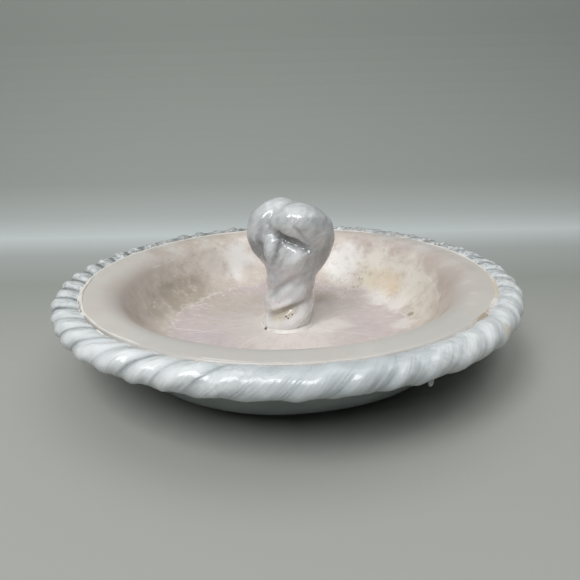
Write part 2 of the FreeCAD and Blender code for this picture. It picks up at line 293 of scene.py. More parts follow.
# height picks wall, shoulder and flange, with a ragged border
ragged_z = add(tree, "Math", {0: cloud, 1: 6.0, 2: height}, operation="MULTIPLY_ADD")
share_up = add(tree, "MapRange", {"Value": ragged_z, "From Min": 7.0, "From Max": 25.0})
by_height = add(tree, "ValToRGB", {"Fac": share_up})
set_stops(by_height.color_ramp, ((0.0, "d3c8be"), (0.25, "d1c5bb"), (0.5, "cfc3ba"), (0.72, "cfc4bc"),
                                 (0.88, "d0c9c2"), (1.0, "d3cfc9")))
coats = patch_coats(tree, in_mm, FLANGE_PATCHES, ragged=5.0)

# distance from the axis shades the floor
outward = add(tree, "MapRange", {"Value": from_axis, "From Min": 6.0, "From Max": 42.0})
by_distance = add(tree, "ValToRGB", {"Fac": outward})
set_stops(by_distance.color_ramp, ((0.0, "e6dfd8"), (0.2, "d9cfcb"), (0.5, "cfc3c1"), (0.8, "cbbfbe"),
                                   (1.0, "cabeb9")))
ragged_r = add(tree, "Math", {0: cloud, 1: 12.0, 2: from_axis}, operation="MULTIPLY_ADD")
in_well = add(tree, "MapRange", {"Value": height, "From Min": 3.0, "From Max": 3.3})
on_floor = add(tree, "MapRange", {"Value": ragged_r, "From Min": 42.8, "From Max": 41.8})
on_floor = add(tree, "Math", {0: on_floor, 1: in_well}, operation="MULTIPLY")
coats.append((on_floor, by_distance))
coats += patch_coats(tree, in_mm, DISH_PATCHES, ragged=5.0)
print("coats of the flange, the wall and the floor", len(coats))

# %% Satin taupe: strokes and tide line
# greenish broken strokes below the cream pool
strokes = add(tree, "TexNoise", {"Vector": in_mm, "Scale": 1 / 2.2, "Detail": 5.0, "Roughness": 0.7,
                                 "Distortion": 0.8})
dark = add(tree, "MapRange", {"Value": strokes, "From Min": 0.54, "From Max": 0.62, "To Max": 0.65})
away = add(tree, "VectorMath", {0: in_mm, 1: (24.0, 29.0, 5.6)}, operation="DISTANCE")
near = add(tree, "MapRange", {"Value": away, "From Min": 9.0, "From Max": 4.0})
dark = add(tree, "Math", {0: dark, 1: near}, operation="MULTIPLY")

# a broken pale tide line where the floor's glaze ends
tide = add(tree, "MapRange", {"Value": ragged_r, "From Min": 40.6, "From Max": 42.2})
tide_line = add(tree, "Math", {0: tide, 1: on_floor}, operation="MULTIPLY")
broken = add(tree, "MapRange", {"Value": strokes, "From Min": 0.42, "From Max": 0.56, "To Max": 0.85})
tide_line = add(tree, "Math", {0: tide_line, 1: broken}, operation="MULTIPLY")
coats += [(dark, paint("928d80")), (tide_line, paint("e9e2d9"))]
print("coats with strokes and tide line", len(coats))

# %% Satin taupe: brush marks and fine lines
# Marks in one radian, length of a mark in mm, noise at which it begins and is full, strength, colour
BRUSHES = (
    (26.0, 12.0, 0.63, 0.7, 0.5, "f0ebe6"),
    (55.0, 3.0, 0.58, 0.7, 0.55, "f0eae7"),
    (36.0, 7.0, 0.42, 0.32, 0.35, "b4a3a5"),
)
# the marks run out from the post: the noise is fine across the way out and long along it
way_out = add(tree, "VectorMath", {0: flat}, operation="NORMALIZE")
for fineness, run, begins, full, strength, web_colour in BRUSHES:
    fanned = add(tree, "VectorMath", {0: way_out, "Scale": fineness}, operation="SCALE")
    along = add(tree, "Math", {0: from_axis, 1: 1 / run}, operation="MULTIPLY")
    lifted = add(tree, "CombineXYZ", {"Z": along})
    fanned = add(tree, "VectorMath", {0: fanned, 1: lifted}, operation="ADD")
    brush = add(tree, "TexNoise", {"Vector": fanned, "Scale": 1.0, "Detail": 3.0, "Roughness": 0.6,
                                   "Distortion": 0.5})
    marks = add(tree, "MapRange", {"Value": brush, "From Min": begins, "From Max": full, "To Max": strength})
    marks = add(tree, "Math", {0: marks, 1: on_floor}, operation="MULTIPLY")
    coats.append((marks, paint(web_colour)))
coats += line_coats(tree, in_mm, DISH_LINES, "f3eee9")
print("coats with brush marks and lines", len(coats))

# %% Satin taupe: mottle and specks
# the glaze is mottled in the well, most on its wall, and on the back of the flange
mottle = add(tree, "TexNoise", {"Vector": in_mm, "Scale": 1 / 3.4, "Detail": 8.0, "Roughness": 0.72})
in_bowl = add(tree, "MapRange", {"Value": ragged_z, "From Min": 22.0, "From Max": 18.5})
at_back = add(tree, "MapRange", {"Value": xyz.outputs["Y"], "From Min": 0.0, "From Max": 26.0})
in_bowl = add(tree, "Math", {0: in_bowl, 1: at_back}, operation="MAXIMUM")
off_floor = add(tree, "MapRange", {"Value": on_floor, "To Min": 1.0, "To Max": 0.35})
in_bowl = add(tree, "Math", {0: in_bowl, 1: off_floor}, operation="MULTIPLY")
for begins, full, strength, web_colour in ((0.52, 0.68, 0.45, "ebe5dd"), (0.48, 0.32, 0.4, "9c9188")):
    amount = add(tree, "MapRange", {"Value": mottle, "From Min": begins, "From Max": full,
                                    "To Max": strength})
    amount = add(tree, "Math", {0: amount, 1: in_bowl}, operation="MULTIPLY")
    coats.append((amount, paint(web_colour)))

# pale specks on the wall and the foot of the well, one in every few millimetres
dots = add(tree, "TexVoronoi", {"Vector": in_mm, "Scale": 1 / 2.6})
chosen = add(tree, "SeparateColor", {"Color": dots.outputs["Color"]}).outputs["Red"]
size = add(tree, "MapRange", {"Value": chosen, "From Min": 0.6, "From Max": 1.0, "To Max": 0.2})
specks = add(tree, "Math", {0: dots.outputs["Distance"], 1: size}, operation="LESS_THAN")
inside = add(tree, "MapRange", {"Value": from_axis, "From Min": 48.5, "From Max": 46.5, "To Max": 0.6})
specks = add(tree, "Math", {0: specks, 1: inside}, operation="MULTIPLY")
coats.append((specks, paint("e6dfd5")))
print("coats with mottle and specks", len(coats))

# %% Satin taupe: edge and outside
# at the left the flange's edge shows in the groove beside the rope, painted grey as shade there
groove = add(tree, "MapRange", {"Value": from_axis, "From Min": 56.1, "From Max": 56.4, "To Max": 0.75})
at_left = add(tree, "MapRange", {"Value": xyz.outputs["X"], "From Min": -15.0, "From Max": -40.0})
groove = add(tree, "Math", {0: groove, 1: at_left}, operation="MULTIPLY")

# outside and below, the body is painted a darker cool grey as shade under the rope's overhang; a cone
# inside the wall divides the outside of the body from the well
cone = add(tree, "Math", {0: height, 1: -0.42, 2: from_axis}, operation="MULTIPLY_ADD")
outside = add(tree, "MapRange", {"Value": cone, "From Min": 41.0, "From Max": 41.6})
below = add(tree, "MapRange", {"Value": height, "From Min": 19.5, "From Max": 18.5})
under = add(tree, "MapRange", {"Value": height, "From Min": 3.3, "From Max": 3.0})
body = add(tree, "Math", {0: outside, 1: below, 2: under}, operation="MULTIPLY_ADD", use_clamp=True)
belly_shade_tone = add(tree, "ValToRGB", {"Fac": cloud})
set_stops(belly_shade_tone.color_ramp, ((0.3, "868d8d"), (0.5, "8f9696"), (0.7, "999f9e")))
coats += [(groove, paint("918f8a")), (body, belly_shade_tone)]

colour = by_height
for amount, over in coats:
    colour = add(tree, "Mix", {AMOUNT: amount, UNDER: colour, OVER: over}, data_type="RGBA")
rough = add(tree, "MapRange", {"Value": cloud, "To Min": 0.3, "To Max": 0.5})
skin = add(tree, "TexNoise", {"Vector": in_mm, "Scale": 1 / 1.4, "Detail": 3.0})
relief = add(tree, "Math", {0: marks, 1: 0.6, 2: skin}, operation="MULTIPLY_ADD")
bump = add(tree, "Bump", {"Height": relief, "Strength": 0.3, "Distance": 0.0001})
connect(tree, shader, {"Base Color": colour, "Roughness": rough, "Normal": bump})
print("glaze", taupe_glaze.name, "coats", len(coats))

# %% [markdown]
# ## Bare clay under the base
# A potter wipes the glaze off the face that stands in the kiln, or it would stick to the shelf. That
# face shows the fired clay: matt, warm and a little sandy, with no shine to hide its grain.

# %% Bare stoneware
bare_clay, tree, shader, in_mm = start_finish("bare_fired_stoneware", IOR=1.5, Roughness=0.85)
grain = add(tree, "TexNoise", {"Vector": in_mm, "Scale": 1 / 1.2, "Detail": 6.0, "Roughness": 0.7})
tone = add(tree, "ValToRGB", {"Fac": grain})
set_stops(tone.color_ramp, ((0.3, "b7a48f"), (0.5, "c6b5a0"), (0.7, "d0c2af")))
bump = add(tree, "Bump", {"Height": grain, "Strength": 0.4, "Distance": 0.0001})
connect(tree, shader, {"Base Color": tone, "Normal": bump})
print("finish", bare_clay.name)

# %% [markdown]
# ## The dish
# A dish is round, so a potter turns or presses it from one outline. Here too: a few corner points are
# joined, each corner is rounded with a bevel, and the outline is spun once round the axis. A cylinder
# pushed about with a modifier would need far more points for the same wall.

# %% Spin the dish
DISH_CORNERS = (  # radius, height and the length of the rounding on each side, in mm
    (0.0, 0.5, 0.0),
    (33.0, 0.5, 2.0),
    (36.0, 0.0, 1.5),
    (48.8, 0.0, 10.8),
    (50.6, 17.4, 2.7),
    (56.6, 17.4, 0.8),
    (56.6, 21.4, 0.5),
    (48.4, 21.4, 4.2),
    (39.2, 4.0, 7.8),
    (0.0, 4.0, 0.0),
)
SPIN_STEPS = 240
WELD = 0.005                # mm, points that lie closer than this become one
FLAT_UP_TO = 1.0            # mm, what lies lower stays flat to stand on
BARE_HEIGHT, BARE_RADIUS = 0.6, 38.0     # mm, the face under the base within these has no glaze


def rounded_outline(bm, corners):
    """Draws an outline through corner points given in mm and rounds each corner."""
    points = [bm.verts.new((radius * MM, 0, height * MM)) for radius, height, rounding in corners]
    for start, end in zip(points, points[1:]):
        bm.edges.new((start, end))
    for point, (radius, height, rounding) in zip(points, corners):
        if rounding > 0:
            bmesh.ops.bevel(bm, geom=[point], offset=rounding * MM, offset_type="OFFSET", affect="VERTICES",
                            segments=8, profile=0.5, material=-1)


def divide_long_edges(bm, longest):
    """Puts points along the long straight runs, so that they can be uneven too."""
    for edge in list(bm.edges):
        cuts = int(edge.calc_length() / longest)
        if cuts > 0:
            bmesh.ops.subdivide_edges(bm, edges=[edge], cuts=cuts)


def spin_round(bm):
    """Spins everything once round the dish's axis into a closed, outward-facing skin."""
    bmesh.ops.spin(bm, geom=bm.verts[:] + bm.edges[:], cent=(0, 0, 0), axis=(0, 0, 1), angle=2 * math.pi,
                   steps=SPIN_STEPS, use_merge=True)
    bmesh.ops.remove_doubles(bm, verts=bm.verts, dist=WELD * MM)
    bmesh.ops.recalc_face_normals(bm, faces=bm.faces)


bm = bmesh.new()
rounded_outline(bm, DISH_CORNERS)
divide_long_edges(bm, 1.5 * MM)
spin_round(bm)
bm.normal_update()
for vert in bm.verts:
    if vert.co.z > FLAT_UP_TO * MM:
        push = unevenness(vert.co, 26 * MM, 0.3 * MM) + unevenness(vert.co, 8 * MM, 0.08 * MM)
        vert.co += vert.normal * push
for face in bm.faces:
    middle = face.calc_center_median()
    face.material_index = 1 if middle.z < BARE_HEIGHT * MM and middle.xy.length < BARE_RADIUS * MM else 0
to_piece(bm, "dish", [taupe_glaze, bare_clay], "dish_body")

# %% [markdown]
# ## The rope's glaze
# The rope and the post carry the same glossy, cool white glaze. Shade is painted into it: grey in the
# grooves between the strands and on the rope's underside. How high a point lies on its strand is known
# when the strand is shaped, so each point carries that number as an attribute for the shader to read.

# %% Glossy white glaze
white_glaze, tree, shader, in_mm = start_finish("glossy_white_stoneware_glaze", IOR=1.5, Coat_Weight=0.4,
                                                Coat_Roughness=0.15)
ridge = add(tree, "Attribute", attribute_name="ridge").outputs["Fac"]
cloud = add(tree, "TexNoise", {"Vector": in_mm, "Scale": 1 / 6.0, "Detail": 5.0, "Roughness": 0.6})
# painted shade: the glaze turns grey down into the grooves between the strands, by the ridge number
ragged = add(tree, "Math", {0: cloud, 1: 0.7, 2: ridge}, operation="MULTIPLY_ADD")
depth = add(tree, "MapRange", {"Value": ragged, "From Min": 0.0, "From Max": 1.3})
tone = add(tree, "ValToRGB", {"Fac": depth})
set_stops(tone.color_ramp, ((0.0, "6a6e6e"), (0.25, "a6acad"), (0.5, "d5dbdd"), (1.0, "ecf0f2")))

# pale and grey streaks run along the strands
along = add(tree, "Attribute", attribute_name="streak").outputs["Vector"]
along_mm = add(tree, "Mapping", {"Vector": along, "Scale": TO_MM})
streaks = add(tree, "TexNoise", {"Vector": along_mm, "Scale": 1 / 1.1, "Detail": 4.0})
pale = add(tree, "MapRange", {"Value": streaks, "From Min": 0.5, "From Max": 0.72, "To Max": 0.4})
grey = add(tree, "MapRange", {"Value": streaks, "From Min": 0.46, "From Max": 0.3, "To Max": 0.35})
coats = [(pale, paint("e6ecee")), (grey, paint("b1b5bd"))]
print("coats of streaks", len(coats))

# %% Glossy white: grain and stains
ROPE_PATCHES = (
    ((-32.0, 50.0, 20.0), 36.0, "a6a9a5", 0.5), ((42.0, 44.0, 20.0), 34.0, "b2b4b1", 0.45),
    ((10.0, -58.0, 18.5), 28.0, "b3bcc0", 0.55), ((45.6, -42.3, 20.0), 2.0, "c9b48e", 0.55),
)
# towards the back the glaze is thin and grainy, and towards the table it is painted grey all round as
# shade on the rope's underside
xyz = add(tree, "SeparateXYZ", {"Vector": in_mm})
grain = add(tree, "TexNoise", {"Vector": in_mm, "Scale": 1 / 1.1, "Detail": 5.0, "Roughness": 0.65})
pits = add(tree, "MapRange", {"Value": grain, "From Min": 0.52, "From Max": 0.36, "To Max": 0.85})
back = add(tree, "MapRange", {"Value": xyz.outputs["Y"], "From Min": -40.0, "From Max": 20.0})
pits = add(tree, "Math", {0: pits, 1: back}, operation="MULTIPLY")
low = add(tree, "MapRange", {"Value": xyz.outputs["Z"], "From Min": 20.2, "From Max": 16.2, "To Max": 0.85})
coats += [(pits, paint("6f716e")), (low, paint("8a9193"))]
coats += patch_coats(tree, in_mm, ROPE_PATCHES, ragged=1.5)

colour = tone
for amount, over in coats:
    colour = add(tree, "Mix", {AMOUNT: amount, UNDER: colour, OVER: over}, data_type="RGBA")
rough = add(tree, "MapRange", {"Value": cloud, "To Min": 0.16, "To Max": 0.36})
relief = add(tree, "Math", {0: pits, 1: -1.5, 2: streaks}, operation="MULTIPLY_ADD")
bump = add(tree, "Bump", {"Height": relief, "Strength": 0.7, "Distance": 0.00025})
connect(tree, shader, {"Base Color": colour, "Roughness": rough, "Normal": bump})
print("glaze", white_glaze.name, "coats", len(coats))

# %% [markdown]
# ## The rope border
# A potter rolls two coils, twists them together and bends the rope round the edge. The same three
# steps work here. Two soft coils that are pressed together have a flat side each, so a strand's section
# is a disc cut off near its middle. It is drawn out into a long bar, then each point is twisted and bent.
# Glaze fills the groove between the strands, so points near the flat side are drawn in only a little.
# Two round tubes on a helix would leave a groove far deeper than the real, soft one.

# %% Draw out a strand
def drag(bm, drawn, way):
    """Moves the points of what was just drawn out."""
    points = [part for part in drawn if isinstance(part, bmesh.types.BMVert)]
    bmesh.ops.translate(bm, verts=points, vec=way)


def half_round_bar(strand_radius, offset, length, steps):
    """A straight bar along X: a disc, offset from the axis and cut flat on it, drawn out to a length."""
    bar = bmesh.new()
    bmesh.ops.create_circle(bar, cap_ends=True, segments=40, radius=strand_radius)
    bmesh.ops.rotate(bar, verts=bar.verts, cent=(0, 0, 0), matrix=Matrix.Rotation(math.pi / 2, 3, "Y"))
    bmesh.ops.translate(bar, verts=bar.verts, vec=(0, 0, offset))
    bmesh.ops.bisect_plane(bar, geom=bar.verts[:] + bar.edges[:] + bar.faces[:], plane_co=(0, 0, 0),
                           plane_no=(0, 0, 1), clear_inner=True)
    drawn = bmesh.ops.extrude_face_region(bar, geom=bar.faces[:])["geom"]
    drag(bar, drawn, (length, 0, 0))
    long_edges = [edge for edge in bar.edges if edge.calc_length() > length * 0.9]
    bmesh.ops.subdivide_edges(bar, edges=long_edges, cuts=steps - 1, use_grid_fill=True)
    return bar


trial = half_round_bar(rope_radius, 0.0, rope_ring, 10)
print("a trial strand in ten steps has", len(trial.faces), "faces")
trial.free()

# %% Twist and bend a strand
ROPE_TWISTS = 25            # full turns of the rope round the rim
ROPE_LAY_PHASE = math.radians(168)
GROOVE_DEPTH = 0.75         # mm, deeper at the back left, where the glaze lies thinner
DEEPEST_GROOVES = math.radians(140)
SMOOTHEST = math.radians(-60)      # front right, where the glaze lies thickest and hides the lumps
GROOVE_SHARPNESS = 2.2      # 2 is a soft wave, more is a narrower groove
STRAND_OVERLAP = 0.25       # mm that glaze joins the strands by, so that no slit shows between them
STRAND_FULLNESS = 0.98      # share of its measured radius that a strand fills where it has no lumps
SHALLOW_INSIDE = 0.4        # share of its depth that a groove loses on the side of the well
JOINT_WELD = 0.02           # mm, points of a strand's two ends that lie closer than this become one
STEPS_PER_TWIST = 28        # sections of a strand in each full turn
LAY_STRETCH = 0.22          # a glaze streak is stored this much shorter along the strand, so it runs long


def spread_inward(turn):
    """How much wider than tall the rope lies on the flange: it was pressed down most at the left."""
    return 1.3 + 0.2 * (1.0 - math.cos(turn))


def lumpiness(turn):
    """How lumpy the rope is: least where the glaze lies thickest."""
    return 0.6 + 0.9 * (1.0 - math.cos(turn - SMOOTHEST))


def lay_round_rim(bar, length, phase):
    """Twists a strand left-handed about the rope's axis and bends it into a ring on the dish's edge."""
    ridge = bar.verts.layers.float.new("ridge")
    streak = bar.verts.layers.float_vector.new("streak")
    for vert in bar.verts:
        turn = vert.co.x / length * 2 * math.pi
        on_ring = Vector((math.cos(turn), math.sin(turn), 0))
        centre = on_ring * rope_ring
        across, high = vert.co.y, vert.co.z - STRAND_OVERLAP * MM
        crest, past = max(0.0, high / rope_radius), max(0.0, -high / rope_radius)
        reach = math.hypot(across, high)
        side = (abs(across) / reach) ** GROOVE_SHARPNESS if reach > 0 else 0.0
        deeper = 1.15 + 0.35 * math.cos(turn - DEEPEST_GROOVES) + unevenness(centre, 11 * MM, 0.55)
        slack = unevenness(centre, 9 * MM, 0.55) + unevenness(centre, 30 * MM, 0.3)
        lay = phase + ROPE_TWISTS * turn + slack
        uneven = 0.05 + 0.1 * lumpiness(turn)
        lumps = abs(unevenness(centre + Vector((0, 0, phase)), 7 * MM, uneven))
        swell = STRAND_FULLNESS - lumps * crest - 0.8 * past
        inward = max(0.0, -math.cos(lay + math.atan2(across, high)))
        groove = GROOVE_DEPTH * MM * deeper * (1.0 - SHALLOW_INSIDE * inward)
        drawn_in = swell * (1.0 - groove * side / rope_radius)
        out = drawn_in * (high * math.cos(lay) - across * math.sin(lay))
        up = drawn_in * (high * math.sin(lay) + across * math.cos(lay))
        if out < 0:
            out *= spread_inward(turn)
        # painted shade: the ridge number falls into the grooves, further where they are deeper, greying the
        # glaze
        vert[ridge] = 1.0 - (1.0 - crest) * deeper
        vert[streak] = centre * LAY_STRETCH + Vector((0, 0, across + phase * 10 * MM))
        vert.co = centre + on_ring * out + Vector((0, 0, rope_height + up))
    # the ends are joined before the lumps are raised, so that both sides of the joint rise alike
    bmesh.ops.remove_doubles(bar, verts=bar.verts, dist=JOINT_WELD * MM)
    bmesh.ops.recalc_face_normals(bar, faces=bar.faces)
    bar.normal_update()
    for vert in bar.verts:
        rough = 0.3 * MM * lumpiness(math.atan2(vert.co.y, vert.co.x))
        lump = unevenness(vert.co, 2.2 * MM, rough) + unevenness(vert.co, 5 * MM, 0.2 * MM)
        vert.co += vert.normal * (lump - 0.15 * MM) * min(1.0, max(0.0, 2 * vert[ridge]))


print("wider than tall at the left by", spread_inward(math.pi), "and at the right by", spread_inward(0.0))

# %% Hang a drip
DRIP_PLACE = Vector((26.8, -54.2, 16.0))     # mm
DRIP_RADIUS = 0.65          # mm
DRIP_STRETCH = (0.85, 0.85, 1.8)


def hang_drip(bar):
    """A drop of glaze that ran off the rope and froze under it."""
    ridge = bar.verts.layers.float["ridge"]
    drop = bmesh.ops.create_icosphere(bar, subdivisions=3, radius=DRIP_RADIUS * MM)["verts"]
    bmesh.ops.scale(bar, verts=drop, vec=DRIP_STRETCH)
    bmesh.ops.translate(bar, verts=drop, vec=DRIP_PLACE * MM)
    for vert in drop:
        vert[ridge] = 0.6


print("the drip is", round(2 * DRIP_RADIUS * DRIP_STRETCH[2], 2), "mm long")

# %% Make both strands
for number, phase in ((1, ROPE_LAY_PHASE), (2, ROPE_LAY_PHASE + math.pi)):
    length = 2 * math.pi * rope_ring
    bar = half_round_bar(rope_radius, 0.0, length, ROPE_TWISTS * STEPS_PER_TWIST)
    ends = [face for face in bar.faces if len(face.verts) > 4]
    bmesh.ops.delete(bar, geom=ends, context="FACES_ONLY")
    bmesh.ops.recalc_face_normals(bar, faces=bar.faces)
    lay_round_rim(bar, length, phase)
    if number == 1:
        hang_drip(bar)
    bmesh.ops.recalc_face_normals(bar, faces=bar.faces)
    to_piece(bar, "rope_strand_%d" % number, [white_glaze], "rim_rope_strand_%d" % number)

# %% [markdown]
# ## Cream slip
# Slip is liquid clay. It glues the rope to the flange and the post to the floor, and what squeezes out
# fires to a bright cream, stained orange where the glaze over it ran thin.

# %% Cream slip finish
SLIP_PATCHES = (
    ((20.0, -54.0, 21.5), 36.0, "c0bcb7", 0.85), ((53.1, -19.5, 21.9), 8.0, "d3bb96", 0.5),
    ((55.5, -8.0, 21.9), 3.0, "dac7a8", 0.5), ((42.5, -38.0, 21.6), 6.5, "a8937a", 0.75),
    ((-6.7, -5.0, 4.2), 0.8, "5b4a3a", 0.9),
)
slip_finish, tree, shader, in_mm = start_finish("fired_cream_slip", IOR=1.5, Roughness=0.4)
cloud = add(tree, "TexNoise", {"Vector": in_mm, "Scale": 1 / 2.5, "Detail": 5.0, "Roughness": 0.65})
tone = add(tree, "ValToRGB", {"Fac": cloud})
set_stops(tone.color_ramp, ((0.3, "d8d4cd"), (0.5, "e8e5df"), (0.7, "f0eee9")))
colour = tone
for amount, over in patch_coats(tree, in_mm, SLIP_PATCHES, ragged=1.2):
    colour = add(tree, "Mix", {AMOUNT: amount, UNDER: colour, OVER: over}, data_type="RGBA")
bump = add(tree, "Bump", {"Height": cloud, "Strength": 0.35, "Distance": 0.00015})
connect(tree, shader, {"Base Color": colour, "Normal": bump})
print("finish", slip_finish.name, "coats", len(SLIP_PATCHES))

# %% [markdown]
# ## Slip along the rim
# The bead lies in the angle between flange and rope. A small flattened circle is spun round the dish,
# and then it is made wider, thinner and wavier from place to place, as squeezed slip is.

# %% Spin the rim's bead
BEAD_HALF_WIDTH = 0.5       # mm
BEAD_HALF_HEIGHT = 0.55     # mm
BEAD_SUNK = 0.22            # mm that the bead's middle lies below the flange's top
BEAD_SLOPE = 0.42           # mm that it falls for each mm that it reaches under the rope
LEFT_SHIFT = 0.13           # share of the rope's half width that it moves outward at the left
WIPED_SIDE = math.radians(-78)     # towards here the slip was wiped away
BEAD_FILL = 1.8             # how much further the bead reaches under the rope than onto the flange

rope_rise = flange_top - rope_height
rope_at_flange = math.sqrt(rope_radius ** 2 - rope_rise ** 2)
bm = bmesh.new()
bmesh.ops.create_circle(bm, segments=14, radius=BEAD_HALF_WIDTH * MM)
bmesh.ops.rotate(bm, verts=bm.verts, cent=(0, 0, 0), matrix=Matrix.Rotation(math.pi / 2, 3, "X"))
bmesh.ops.scale(bm, verts=bm.verts, vec=(1, 1, BEAD_HALF_HEIGHT / BEAD_HALF_WIDTH))
bead_line = Vector((flange_edge, 0, flange_top - BEAD_SUNK * MM))
bmesh.ops.translate(bm, verts=bm.verts, vec=bead_line)
spin_round(bm)
for vert in bm.verts:
    outward = Vector((vert.co.x, vert.co.y, 0)).normalized()
    middle = outward * bead_line.x + Vector((0, 0, bead_line.z))
    turn = math.atan2(outward.y, outward.x)
    wiped = max(0.0, math.cos(turn - WIPED_SIDE) - 0.5) / 0.5
    plump = 0.75 - 0.4 * wiped + unevenness(middle, 3 * MM, 0.3) + unevenness(middle, 12 * MM, 0.2)
    sway = outward * unevenness(middle, 7 * MM, 0.3 * MM)
    rope_side = rope_ring - rope_at_flange * (spread_inward(turn) + LEFT_SHIFT * min(0.0, math.cos(turn)))
    sway += outward * (rope_side - bead_line.x)
    arm = vert.co - middle
    under_rope = outward * max(0.0, arm.dot(outward)) * BEAD_FILL
    vert.co = middle + (arm + under_rope) * plump + sway - Vector((0, 0, under_rope.length * BEAD_SLOPE))
to_piece(bm, "rim_slip_bead", [slip_finish], "rim_slip")

# %% [markdown]
# ## The post's glaze
# The post has the rope's glaze, thicker and greyer, with a lilac bloom. Its creases are darkened with
# painted shade: a number on each point says how deep in a hollow it lies. Highlights are painted on
# its ridges and stem, and shade under the crown's left end and on its right side. The lowest groove has
# a brown stain with a few pinholes.

# %% Where the post's glaze is grey, white or stained, and where light and shade are painted on it
POST_STAINS_AND_PAINTED_LIGHT = (
    # painted shade under the crown's left end and on the knot's right side
    ((-8.3, -3.6, 28.2), 4.5, "7f8284", 0.75), ((11.0, -2.0, 26.5), 6.0, "9b9d9e", 0.6),
    # greyer, pinker and paler patches
    ((7.0, -3.0, 15.0), 4.5, "b3aca6", 0.6), ((0.5, -7.0, 22.5), 4.0, "cfc6c6", 0.5),
    ((-2.6, -6.6, 7.4), 2.4, "ece7db", 0.5), ((1.2, -7.4, 26.5), 5.0, "e2e5e6", 0.6),
    # a painted highlight low on the stem's front, and a paler crown
    ((2.8, -7.0, 7.4), 4.2, "f8f8f9", 0.9), ((-3.0, -3.0, 39.5), 6.0, "d6dadb", 0.5),
    # painted highlights on the stem's lower band and on the front ridges
    ((-3.2, -6.4, 11.6), 3.0, "fafafa", 0.8), ((-0.6, -7.2, 13.4), 2.6, "f6f6f7", 0.7),
    ((2.8, -7.7, 27.0), 2.4, "f2f4f5", 0.7), ((-4.4, -7.2, 30.0), 1.8, "eceff0", 0.6),
    # the brown stain in the lowest groove, and its pinholes
    ((-1.2, -6.6, 9.9), 3.0, "b3a37c", 0.5), ((1.6, -6.7, 10.9), 2.2, "b5a684", 0.45),
    ((-4.2, -5.2, 8.6), 2.8, "c0b59b", 0.45), ((-0.4, -7.2, 9.0), 0.4, "3a3226", 0.95),
    ((0.2, -7.4, 8.5), 0.35, "4a3f30", 0.95), ((1.4, -7.2, 9.6), 0.35, "4a3f30", 0.9),
)
print("patches on the post", len(POST_STAINS_AND_PAINTED_LIGHT))

# %% Grey glaze
WRINKLE_SLOPE = math.radians(-40)   # the clay's wrinkles rise to the right

grey_glaze, tree, shader, in_mm = start_finish("glossy_grey_stoneware_glaze", IOR=1.52, Coat_Weight=0.8,
                                               Coat_Roughness=0.08)
hollow = add(tree, "Attribute", attribute_name="hollow").outputs["Fac"]
cloud = add(tree, "TexNoise", {"Vector": in_mm, "Scale": 1 / 5.0, "Detail": 6.0, "Roughness": 0.6})
tone = add(tree, "ValToRGB", {"Fac": cloud})
set_stops(tone.color_ramp, ((0.3, "b4b8bb"), (0.45, "c6cacc"), (0.55, "d1d4d5"), (0.7, "dddfe0")))
height = add(tree, "SeparateXYZ", {"Vector": in_mm}).outputs["Z"]
low = add(tree, "MapRange", {"Value": height, "From Min": 22.0, "From Max": 8.0, "To Max": 0.85})
# painted shade, darkest in the deepest creases
crease_shade = add(tree, "MapRange", {"Value": hollow, "From Min": 0.15, "From Max": 1.0, "To Max": 0.75})
coats = [(low, paint("efedec")), (crease_shade, paint("7a7c7e"))]
coats += patch_coats(tree, in_mm, POST_STAINS_AND_PAINTED_LIGHT, ragged=1.2)

colour = tone
for amount, over in coats:
    colour = add(tree, "Mix", {AMOUNT: amount, UNDER: colour, OVER: over}, data_type="RGBA")
rough = add(tree, "MapRange", {"Value": cloud, "To Min": 0.14, "To Max": 0.28})
slanted = add(tree, "Mapping", {"Vector": in_mm, "Rotation": (0.0, WRINKLE_SLOPE, 0.0),
                                "Scale": (3.0, 1.0, 1.0)}, vector_type="TEXTURE")
skin = add(tree, "TexNoise", {"Vector": slanted, "Scale": 1 / 1.1, "Detail": 2.0})
bump = add(tree, "Bump", {"Height": skin, "Strength": 0.8, "Distance": 0.0003})
connect(tree, shader, {"Base Color": colour, "Roughness": rough, "Normal": bump})
print("glaze", grey_glaze.name, "coats", len(coats))

# %% [markdown]
# ## The post
# Two thick coils stand on the floor, twisted right-handed. At the neck they part: the front one rises
# as two ridges and folds over to the right, the back one rises behind and folds over to the left.
# Coils that swell and taper are easiest as strings of balls. A voxel remesh puts one skin round all
# the balls, and smoothing fills the creases as wet fingers and thick glaze do.

# %% Coils and skin
def smooth_run(places, steps):
    """Points of a Catmull-Rom curve through places. A place may carry a further number, such as a radius."""
    knots = [Vector(place) for place in places]
    knots = [knots[0] * 2 - knots[1]] + knots + [knots[-1] * 2 - knots[-2]]
    run = []
    for before, start, end, after in zip(knots, knots[1:], knots[2:], knots[3:]):
        for step in range(steps):
            t = step / steps
            run.append((start * 2 + (end - before) * t + (before * 2 - start * 5 + end * 4 - after) * t * t
                        + (start * 3 - before - end * 3 + after) * t * t * t) / 2)
    return run + [knots[-2]]


def from_post(place):
    """Turns a place given as (right, back, up) in mm from the post's axis into metres in the part."""
    return Vector((place[0] * MM + post_x, place[1] * MM, place[2] * MM))


def rolled_coil(bm, places):
    """A coil of clay as a string of balls through places (right, back, up, radius), in mm."""
    for spot in smooth_run(places, 7):
        place = Matrix.Translation(from_post(spot))
        bmesh.ops.create_icosphere(bm, subdivisions=2, radius=spot[3] * MM, matrix=place)


